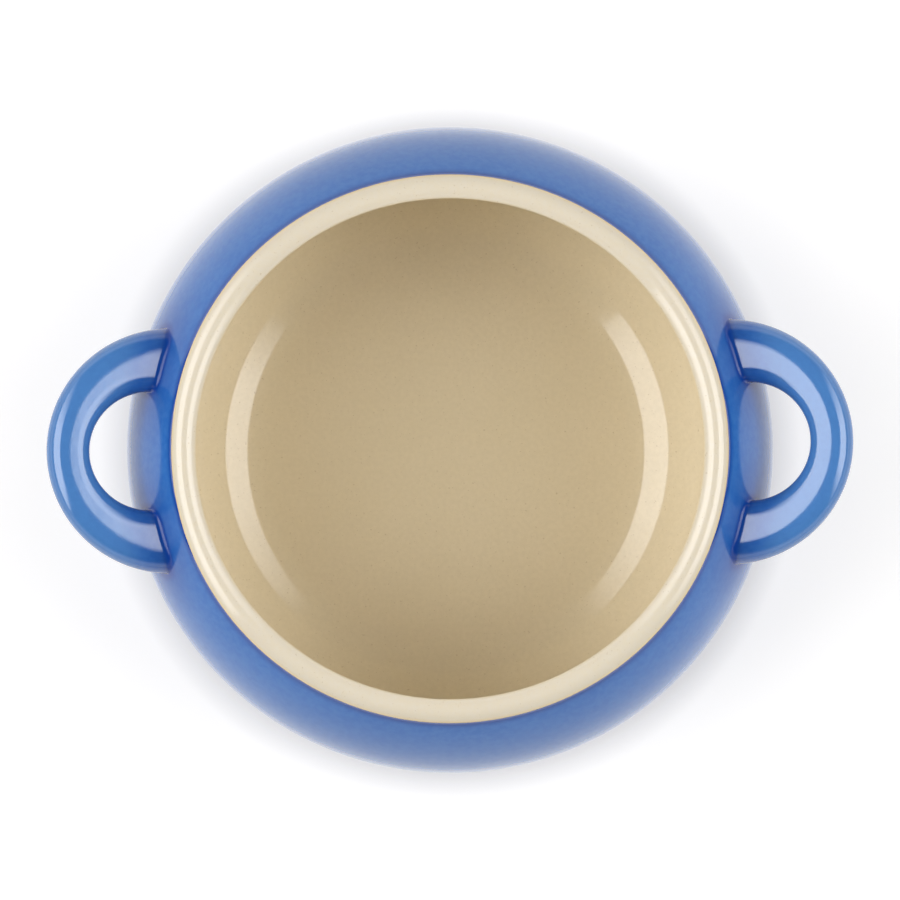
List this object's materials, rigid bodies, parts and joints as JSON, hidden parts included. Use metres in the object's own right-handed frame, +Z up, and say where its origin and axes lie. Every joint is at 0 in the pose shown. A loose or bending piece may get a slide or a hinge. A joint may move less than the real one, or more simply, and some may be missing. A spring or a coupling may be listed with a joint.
{
  "type": "mini cocotte",
  "caption": "Round-bellied stoneware pot without a lid, glazed blue outside and sand inside, with a rounded rim, a bare foot ring and a rising loop handle on each side, for baking and serving.",
  "frame": {"origin": "on the table, under the middle of the foot ring", "axes": "+X towards the right handle, +Y towards the back, +Z up out of the mouth"},
  "size_m": [0.125, 0.102, 0.052],
  "materials": {
    "bare_stoneware": "bare fired stoneware, matt and slightly gritty",
    "sand_glaze": "glossy sand-coloured glaze",
    "blue_glaze": "glossy blue glaze, darker where it pools"
  },
  "bodies": {
    "root": {"stoneware_body": "bare_stoneware", "interior_glaze": "sand_glaze", "exterior_glaze": "blue_glaze", "base_glaze": "blue_glaze", "left_handle": "blue_glaze", "right_handle": "blue_glaze", "left_front_slip_joint": "blue_glaze", "left_rear_slip_joint": "blue_glaze", "right_front_slip_joint": "blue_glaze", "right_rear_slip_joint": "blue_glaze"}
  },
  "joints": []
}
